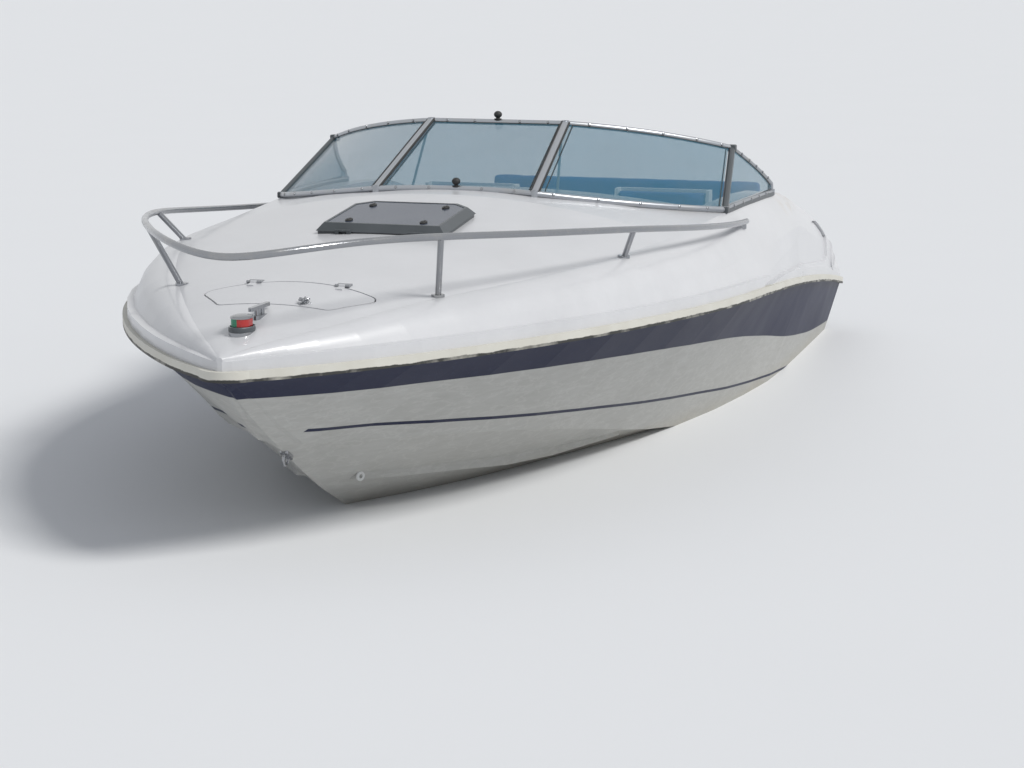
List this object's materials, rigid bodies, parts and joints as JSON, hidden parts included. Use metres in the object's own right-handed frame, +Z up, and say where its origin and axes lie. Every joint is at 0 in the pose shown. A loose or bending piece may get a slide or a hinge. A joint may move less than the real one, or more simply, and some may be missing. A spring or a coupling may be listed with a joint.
{
  "type": "cuddy cabin speedboat",
  "caption": "White cuddy-cabin speedboat with a navy band, raked tinted windscreen, bow rail, foredeck hatch, anchor locker and a sterndrive that steers and tilts.",
  "frame": {"origin": "on the centreline at the waterline, 2.6 m forward of the transom's top", "axes": "+X towards the bow, +Y to port, +Z up"},
  "size_m": [6.6618, 2.5262, 2.0618],
  "materials": {
    "gelcoat_white": "gloss white gelcoat, slightly chalked",
    "deck_white": "semi-gloss white moulding",
    "rail_vinyl": "cream vinyl, scuffed black along its edge",
    "liner_white": "matte white moulding",
    "wood_core": "painted plywood",
    "blue_vinyl": "blue upholstery vinyl",
    "white_vinyl": "white upholstery vinyl",
    "engine_grey": "painted dark grey",
    "stainless": "polished stainless steel",
    "aluminium_trim": "bright anodised",
    "glass_blue": "blue-green tinted",
    "smoked_lens": "smoked",
    "grey_frame": "dark grey powder coat",
    "red_lens": "clear red",
    "green_lens": "clear green",
    "drive_grey": "black painted casting",
    "propeller_metal": "black painted",
    "wheel_white": "white soft grip"
  },
  "bodies": {
    "boat": {"hull": "gelcoat_white", "deck": "deck_white", "rub_rail": "rail_vinyl", "cockpit_liner": "liner_white", "bulkheads": "liner_white", "stringers": "wood_core", "berth": "liner_white", "berth_cushions": "blue_vinyl", "engine_block": "engine_grey", "jump_seats": "liner_white", "jump_cushions": "blue_vinyl", "consoles": "liner_white", "seat_pedestals": "aluminium_trim", "hinge_leaves": "stainless", "hatch_frame": "grey_frame", "windscreen_frame": "aluminium_trim", "glass_port": "glass_blue", "glass_starboard": "glass_blue", "glass_centre": "glass_blue", "bow_rail": "stainless", "rail_stanchions": "stainless", "nav_light": "stainless", "nav_lens_port": "red_lens", "nav_lens_starboard": "green_lens", "cleats": "stainless", "eyes": "stainless", "transom_shield": "drive_grey", "quarter_vents": "deck_white", "coaming_pads": "blue_vinyl"},
    "gimbal": {"gimbal_ring": "drive_grey"},
    "drive": {"drive_leg": "drive_grey"},
    "screw": {"propeller": "propeller_metal"},
    "trim_cylinders": {"trim_barrels": "drive_grey"},
    "trim_pistons": {"trim_rods": "stainless"},
    "wheel": {"steering_wheel": "wheel_white"},
    "helm_chair": {"helm_seat": "liner_white", "helm_cushions": "blue_vinyl"},
    "companion_chair": {"companion_seat": "liner_white", "companion_cushions": "blue_vinyl"},
    "door": {"cabin_door": "smoked_lens"},
    "engine_lid": {"engine_cover": "deck_white", "sun_pad": "blue_vinyl"},
    "anchor_lid": {"locker_lid": "deck_white"},
    "deck_hatch": {"hatch_lid": "grey_frame", "hatch_lens": "smoked_lens"}
  },
  "joints": [
    {"name": "steer", "type": "hinge", "parent": "boat", "child": "gimbal", "pos_m": [-2.66, 0, -0.105], "axis": [0, 0, 1], "range_deg": [-28, 28]},
    {"name": "tilt", "type": "hinge", "parent": "gimbal", "child": "drive", "pos_m": [-2.66, 0, -0.105], "axis": [0, 1, 0], "range_deg": [-5, 48]},
    {"name": "propeller_spin", "type": "hinge", "parent": "drive", "child": "screw", "pos_m": [-3.1, 0, -0.505], "axis": [1, 0, 0], "continuous": true},
    {"name": "trim_barrel_swing", "type": "hinge", "parent": "gimbal", "child": "trim_cylinders", "pos_m": [-2.67, 0, -0.217], "axis": [0, 1, 0], "range_deg": [-4.5, 40.5]},
    {"name": "trim_rod_slide", "type": "slide", "parent": "trim_cylinders", "child": "trim_pistons", "axis": [-0.9623, 0, 0.2721], "range_m": [-0.009, 0.08]},
    {"name": "wheel_turn", "type": "hinge", "parent": "boat", "child": "wheel", "pos_m": [-0.04, -0.5, 0.79], "axis": [0.866, 0, -0.5], "range_deg": [-540, 540]},
    {"name": "helm_seat_swivel", "type": "hinge", "parent": "boat", "child": "helm_chair", "pos_m": [-0.65, -0.5, 0.35], "axis": [0, 0, 1], "range_deg": [-180, 180]},
    {"name": "companion_seat_swivel", "type": "hinge", "parent": "boat", "child": "companion_chair", "pos_m": [-0.65, 0.5, 0.35], "axis": [0, 0, 1], "range_deg": [-180, 180]},
    {"name": "cabin_door", "type": "hinge", "parent": "boat", "child": "door", "pos_m": [0.3445, 0.268, 0.45], "axis": [0, 0, -1], "range_deg": [0, 90]},
    {"name": "engine_cover", "type": "hinge", "parent": "boat", "child": "engine_lid", "pos_m": [-2.0537, 0, 0.5], "axis": [0, -1, 0], "range_deg": [0, 50]},
    {"name": "locker_lid", "type": "hinge", "parent": "boat", "child": "anchor_lid", "pos_m": [2.772, 0, 0.90544], "axis": [0, -1, 0], "range_deg": [0, 100]},
    {"name": "hatch_lid", "type": "hinge", "parent": "boat", "child": "deck_hatch", "pos_m": [1.92565, 0, 0.99808], "axis": [0, 1, 0], "range_deg": [0, 90]}
  ],
  "couplings": [
    {"joint": "trim_barrel_swing", "follows": "tilt", "ratio": 0.836},
    {"joint": "trim_rod_slide", "follows": "tilt", "m_per_rad": 0.0941},
    {"joint": "wheel_turn", "follows": "steer", "ratio": 19.286}
  ]
}
